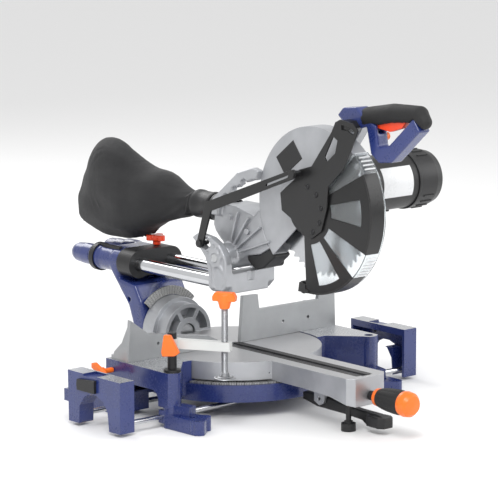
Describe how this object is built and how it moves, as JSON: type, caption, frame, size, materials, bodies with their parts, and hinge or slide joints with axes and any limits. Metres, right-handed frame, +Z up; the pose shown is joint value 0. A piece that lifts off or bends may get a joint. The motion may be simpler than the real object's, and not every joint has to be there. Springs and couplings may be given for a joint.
{
  "type": "sliding compound mitre saw",
  "caption": "Bench sliding mitre saw: turntable with kerf slot, bevelling rail head, sprung blade guard, motor, dust bag, hold-down clamp and pull-out side supports.",
  "frame": {"origin": "centre of the rectangle of four bench bolt holes, on the bench plane, under the turntable's pivot", "axes": "+Z up, +X to the operator's right, +Y away from the operator; the blade plane is x = 0 and the fence faces are y = 0"},
  "size_m": [0.754, 1.0129, 0.6059],
  "materials": {
    "cast_silver": "cast, satin",
    "blue_paint": "gloss enamel",
    "black_plastic": "fine grained",
    "rubber_grip": "soft touch",
    "orange_plastic": "moulded",
    "red_plastic": "moulded",
    "bright_steel": "turned",
    "chrome_rail": "ground",
    "blade_steel": "ground",
    "clear_guard": "clear polycarbonate",
    "dark_insert": "moulded",
    "white_paint": "powder coat",
    "bag_cloth": "woven nylon"
  },
  "bodies": {
    "base": {"base_pan": "blue_paint", "base_wings": "blue_paint", "scale_ring": "cast_silver", "fence_left": "cast_silver", "fence_right": "cast_silver", "fence_screws": "bright_steel", "table_pivot": "bright_steel"},
    "turntable": {"turntable": "cast_silver", "kerf_plates": "dark_insert", "kerf_screws": "black_plastic", "bevel_pin": "bright_steel"},
    "mitre_handle": {"handle_shaft": "black_plastic", "handle_grip": "black_plastic", "handle_ends": "orange_plastic"},
    "detent_lever": {"detent_lever": "black_plastic"},
    "levelling_foot": {"levelling_foot": "black_plastic"},
    "bevel_arm": {"yoke": "blue_paint", "bevel_scale": "cast_silver", "front_bushing": "black_plastic", "cable_band": "black_plastic"},
    "bevel_lever": {"bevel_lever": "black_plastic"},
    "slide_knob": {"slide_knob": "red_plastic"},
    "carriage": {"slide_rails": "chrome_rail", "rail_caps": "blue_paint", "carriage": "cast_silver", "pivot_shaft": "bright_steel"},
    "head_lock_pin": {"head_lock_pin": "black_plastic"},
    "head": {"head_arm": "cast_silver", "under_cover": "black_plastic", "gearcase": "cast_silver", "upper_guard": "cast_silver", "cover_plate": "black_plastic", "cover_screws": "bright_steel", "handle_frame": "blue_paint", "handle_rubber": "rubber_grip", "dust_port": "black_plastic", "motor_housing": "black_plastic", "motor_end_cap": "black_plastic", "brush_caps": "black_plastic"},
    "trigger": {"trigger": "red_plastic"},
    "lock_button": {"lock_button": "orange_plastic"},
    "dust_bag": {"dust_bag": "bag_cloth"},
    "blade": {"saw_blade": "blade_steel", "spindle": "bright_steel", "arbor_bolt": "bright_steel"},
    "lower_guard": {"guard_shell": "clear_guard", "guard_star": "black_plastic"},
    "guard_link": {"guard_link": "black_plastic"},
    "guard_roller": {"guard_roller": "rubber_grip"},
    "clamp": {"clamp_post": "black_plastic", "clamp_arm": "white_paint"},
    "clamp_wing": {"clamp_wing": "orange_plastic"},
    "clamp_screw": {"clamp_screw": "bright_steel", "clamp_knob": "orange_plastic"},
    "support_left": {"support_left": "blue_paint", "rods_left": "chrome_rail"},
    "support_right": {"support_right": "blue_paint", "rods_right": "chrome_rail"},
    "flip_left": {"flip_left": "black_plastic"},
    "flip_right": {"flip_right": "black_plastic"},
    "support_lock": {"support_lock": "orange_plastic"}
  },
  "joints": [
    {"name": "mitre", "type": "hinge", "parent": "base", "child": "turntable", "pos_m": [0, 0, 0.08], "axis": [0, 0, 1], "range_deg": [-30, 45]},
    {"name": "handle_twist", "type": "hinge", "parent": "turntable", "child": "mitre_handle", "pos_m": [0, -0.42, 0.068], "axis": [0, -1, 0], "range_deg": [0, 180]},
    {"name": "detent", "type": "hinge", "parent": "turntable", "child": "detent_lever", "pos_m": [0, -0.246, 0.04], "axis": [1, 0, 0], "range_deg": [-2.5, 0], "stiffness_Nm_per_rad": 1, "springref_deg": 17.19},
    {"name": "foot_height", "type": "slide", "parent": "turntable", "child": "levelling_foot", "axis": [0, 0, 1], "range_m": [0, 0.01]},
    {"name": "bevel", "type": "hinge", "parent": "turntable", "child": "bevel_arm", "pos_m": [0, 0.2, 0.1026], "axis": [0, -1, 0], "range_deg": [0, 45]},
    {"name": "bevel_lock", "type": "hinge", "parent": "turntable", "child": "bevel_lever", "pos_m": [0, 0.25, 0.1026], "axis": [0, 1, 0], "range_deg": [0, 60]},
    {"name": "slide_lock", "type": "hinge", "parent": "bevel_arm", "child": "slide_knob", "pos_m": [0.025, 0.263, 0.27], "axis": [0, 0, 1], "continuous": true},
    {"name": "slide", "type": "slide", "parent": "bevel_arm", "child": "carriage", "axis": [0, 1, 0], "range_m": [0, 0.225]},
    {"name": "lock_pin", "type": "slide", "parent": "carriage", "child": "head_lock_pin", "axis": [1, 0, 0], "range_m": [0, 0.012]},
    {"name": "head_tilt", "type": "hinge", "parent": "carriage", "child": "head", "pos_m": [0, -0.011, 0.277], "axis": [1, 0, 0], "range_deg": [0, 39.2], "stiffness_Nm_per_rad": 22, "springref_deg": -91.67},
    {"name": "trigger_pull", "type": "hinge", "parent": "head", "child": "trigger", "pos_m": [0, -0.391, 0.568], "axis": [1, 0, 0], "range_deg": [-5, 0], "stiffness_Nm_per_rad": 0.5, "springref_deg": 17.19},
    {"name": "lock_off", "type": "slide", "parent": "head", "child": "lock_button", "axis": [-1, 0, 0], "range_m": [0, 0.003], "stiffness_N_per_m": 300, "springref_m": -0.004},
    {"name": "bag_pull", "type": "slide", "parent": "head", "child": "dust_bag", "axis": [0, 1, 0], "range_m": [0, 0.045]},
    {"name": "blade_spin", "type": "hinge", "parent": "head", "child": "blade", "pos_m": [0, -0.245, 0.396], "axis": [1, 0, 0], "continuous": true},
    {"name": "guard_turn", "type": "hinge", "parent": "head", "child": "lower_guard", "pos_m": [0, -0.245, 0.396], "axis": [1, 0, 0], "range_deg": [-108, 0]},
    {"name": "link_swing", "type": "hinge", "parent": "carriage", "child": "guard_link", "pos_m": [0, 0.025, 0.301], "axis": [1, 0, 0], "range_deg": [0, 36]},
    {"name": "roller_spin", "type": "hinge", "parent": "lower_guard", "child": "guard_roller", "pos_m": [0, -0.21878, 0.24729], "axis": [1, 0, 0], "continuous": true},
    {"name": "clamp_swing", "type": "hinge", "parent": "base", "child": "clamp", "pos_m": [-0.246, -0.11, 0.15], "axis": [0, 0, 1], "range_deg": [-90, 0]},
    {"name": "clamp_lock", "type": "hinge", "parent": "clamp", "child": "clamp_wing", "pos_m": [-0.246, -0.11, 0.1565], "axis": [-0.848, -0.5299, 0], "continuous": true},
    {"name": "clamp_travel", "type": "slide", "parent": "clamp", "child": "clamp_screw", "axis": [0, 0, 1], "range_m": [0, 0.03]},
    {"name": "extend_left", "type": "slide", "parent": "base", "child": "support_left", "axis": [-1, 0, 0], "range_m": [0, 0.14]},
    {"name": "extend_right", "type": "slide", "parent": "base", "child": "support_right", "axis": [1, 0, 0], "range_m": [0, 0.14]},
    {"name": "stop_left", "type": "hinge", "parent": "support_left", "child": "flip_left", "pos_m": [0, -0.004, 0.08], "axis": [1, 0, 0], "range_deg": [-90, 0]},
    {"name": "stop_right", "type": "hinge", "parent": "support_right", "child": "flip_right", "pos_m": [0, -0.004, 0.08], "axis": [1, 0, 0], "range_deg": [-90, 0]},
    {"name": "fence_lock", "type": "hinge", "parent": "base", "child": "support_lock", "pos_m": [0, 0.042, 0.084], "axis": [1, 0, 0], "continuous": true}
  ],
  "couplings": [
    {"joint": "guard_turn", "follows": "head_tilt", "ratio": -2.75},
    {"joint": "link_swing", "follows": "head_tilt", "ratio": 0.913}
  ]
}
